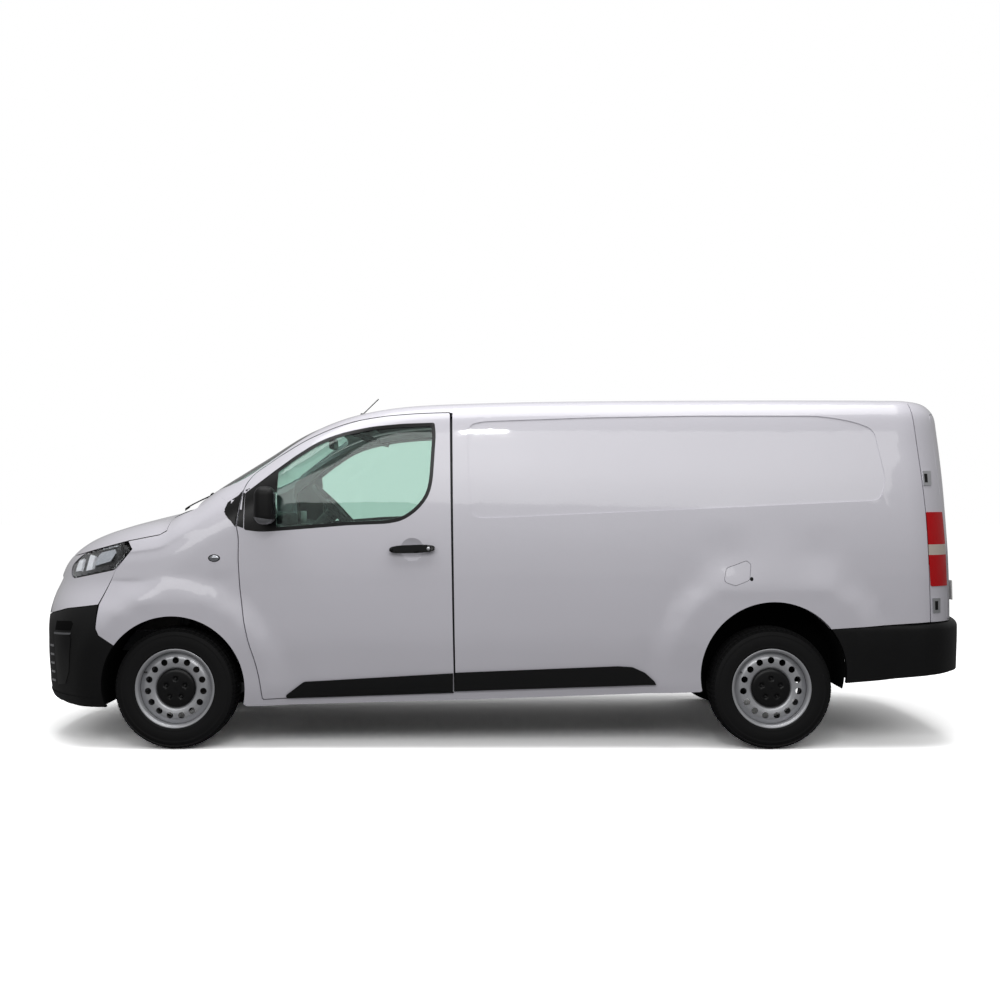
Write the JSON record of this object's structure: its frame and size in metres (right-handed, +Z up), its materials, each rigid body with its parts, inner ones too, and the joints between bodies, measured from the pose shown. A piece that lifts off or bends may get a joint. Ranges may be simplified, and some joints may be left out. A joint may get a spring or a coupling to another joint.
{
  "type": "panel van",
  "caption": "Long-wheelbase panel van with opening cab doors, rear doors, bonnet and fuel flap, steered front wheels and a bulkhead behind the seats.",
  "frame": {"origin": "on the road, halfway along the body and midway between its sides", "axes": "+X towards the rear doors, +Y to the vehicle's right, +Z up"},
  "size_m": [5.31, 2.204, 1.9973],
  "materials": {
    "body_paint": "gloss white paint",
    "black_plastic": "grained black plastic",
    "tinted_glass": "light green tint",
    "clear_lamp": "clear polycarbonate",
    "red_lamp": "red polycarbonate",
    "chassis_paint": "satin dark primer",
    "cab_plastic": "grained dark plastic",
    "seat_cloth": "woven dark cloth",
    "engine_iron": "raw casting",
    "exhaust_steel": "dull steel",
    "tank_plastic": "moulded black plastic",
    "wheel_silver": "silver wheel lacquer",
    "tyre_rubber": "tyre rubber"
  },
  "bodies": {
    "van_body": {"side_panel_left": "body_paint", "side_panel_right": "body_paint", "sliding_door": "body_paint", "roof_panel": "body_paint", "fenders": "body_paint", "cab_frame": "body_paint", "nose_panel": "body_paint", "rear_corners": "body_paint", "front_bumper": "black_plastic", "rear_bumper": "black_plastic", "grille": "black_plastic", "side_mouldings": "black_plastic", "wipers": "black_plastic", "antenna": "black_plastic", "arch_liners": "black_plastic", "windscreen": "tinted_glass", "headlamps": "clear_lamp", "tail_lamps": "red_lamp", "floor_pan": "chassis_paint", "front_carrier": "chassis_paint", "rear_beam": "chassis_paint", "door_posts": "chassis_paint", "rear_door_frame": "chassis_paint", "bulkhead": "chassis_paint", "front_subframe": "chassis_paint", "front_struts": "chassis_paint", "rear_axle": "chassis_paint", "seat_bases": "chassis_paint", "dashboard": "cab_plastic", "seats": "seat_cloth", "engine_block": "engine_iron", "exhaust": "exhaust_steel", "fuel_tank": "tank_plastic"},
    "door_left": {"front_door_left": "body_paint", "window_left": "tinted_glass", "door_trim_left": "black_plastic"},
    "door_right": {"front_door_right": "body_paint", "window_right": "tinted_glass", "door_trim_right": "black_plastic"},
    "back_door_left": {"rear_door_left": "body_paint"},
    "back_door_right": {"rear_door_right": "body_paint"},
    "bonnet_lid": {"bonnet": "body_paint"},
    "filler_flap": {"fuel_flap": "body_paint"},
    "steered_hub_left": {"knuckle_left": "engine_iron"},
    "steered_hub_right": {"knuckle_right": "engine_iron"},
    "handwheel": {"steering_wheel": "cab_plastic"},
    "road_wheel_front_left": {"wheel_front_left": "wheel_silver", "tyre_front_left": "tyre_rubber"},
    "road_wheel_front_right": {"wheel_front_right": "wheel_silver", "tyre_front_right": "tyre_rubber"},
    "road_wheel_rear_left": {"wheel_rear_left": "wheel_silver", "tyre_rear_left": "tyre_rubber"},
    "road_wheel_rear_right": {"wheel_rear_right": "wheel_silver", "tyre_rear_right": "tyre_rubber"}
  },
  "joints": [
    {"name": "door_left_hinge", "type": "hinge", "parent": "van_body", "child": "door_left", "pos_m": [-1.425, -0.96, 1], "axis": [0, 0, -1], "range_deg": [0, 65]},
    {"name": "door_right_hinge", "type": "hinge", "parent": "van_body", "child": "door_right", "pos_m": [-1.425, 0.96, 1], "axis": [0, 0, 1], "range_deg": [0, 65]},
    {"name": "back_door_left_hinge", "type": "hinge", "parent": "van_body", "child": "back_door_left", "pos_m": [2.48, -0.874, 0.794], "axis": [0.0287, -0.0502, -0.9983], "range_deg": [0, 180]},
    {"name": "back_door_right_hinge", "type": "hinge", "parent": "van_body", "child": "back_door_right", "pos_m": [2.48, 0.874, 0.794], "axis": [-0.0287, -0.0502, 0.9983], "range_deg": [0, 180]},
    {"name": "bonnet_hinge", "type": "hinge", "parent": "van_body", "child": "bonnet_lid", "pos_m": [-1.815, 0, 1.262], "axis": [0, 1, 0], "range_deg": [0, 50]},
    {"name": "filler_flap_hinge", "type": "hinge", "parent": "van_body", "child": "filler_flap", "pos_m": [1.222, -0.976, 0.975], "axis": [0, 0, -1], "range_deg": [0, 85]},
    {"name": "steer_left", "type": "hinge", "parent": "van_body", "child": "steered_hub_left", "pos_m": [-1.7735, -0.76, 0.335], "axis": [0, 0, 1], "range_deg": [-35, 35]},
    {"name": "steer_right", "type": "hinge", "parent": "van_body", "child": "steered_hub_right", "pos_m": [-1.7735, 0.76, 0.335], "axis": [0, 0, 1], "range_deg": [-35, 35]},
    {"name": "handwheel_turn", "type": "hinge", "parent": "van_body", "child": "handwheel", "pos_m": [-0.9488, -0.4, 1.3138], "axis": [0.7195, 0, 0.6945], "range_deg": [-545, 545]},
    {"name": "roll_front_left", "type": "hinge", "parent": "steered_hub_left", "child": "road_wheel_front_left", "pos_m": [-1.7735, -0.807, 0.335], "axis": [0, 1, 0], "continuous": true},
    {"name": "roll_front_right", "type": "hinge", "parent": "steered_hub_right", "child": "road_wheel_front_right", "pos_m": [-1.7735, 0.807, 0.335], "axis": [0, 1, 0], "continuous": true},
    {"name": "roll_rear_left", "type": "hinge", "parent": "van_body", "child": "road_wheel_rear_left", "pos_m": [1.5015, -0.807, 0.335], "axis": [0, 1, 0], "continuous": true},
    {"name": "roll_rear_right", "type": "hinge", "parent": "van_body", "child": "road_wheel_rear_right", "pos_m": [1.5015, 0.807, 0.335], "axis": [0, 1, 0], "continuous": true}
  ],
  "couplings": [
    {"joint": "steer_right", "follows": "steer_left", "ratio": 1},
    {"joint": "handwheel_turn", "follows": "steer_left", "ratio": 15.5}
  ]
}
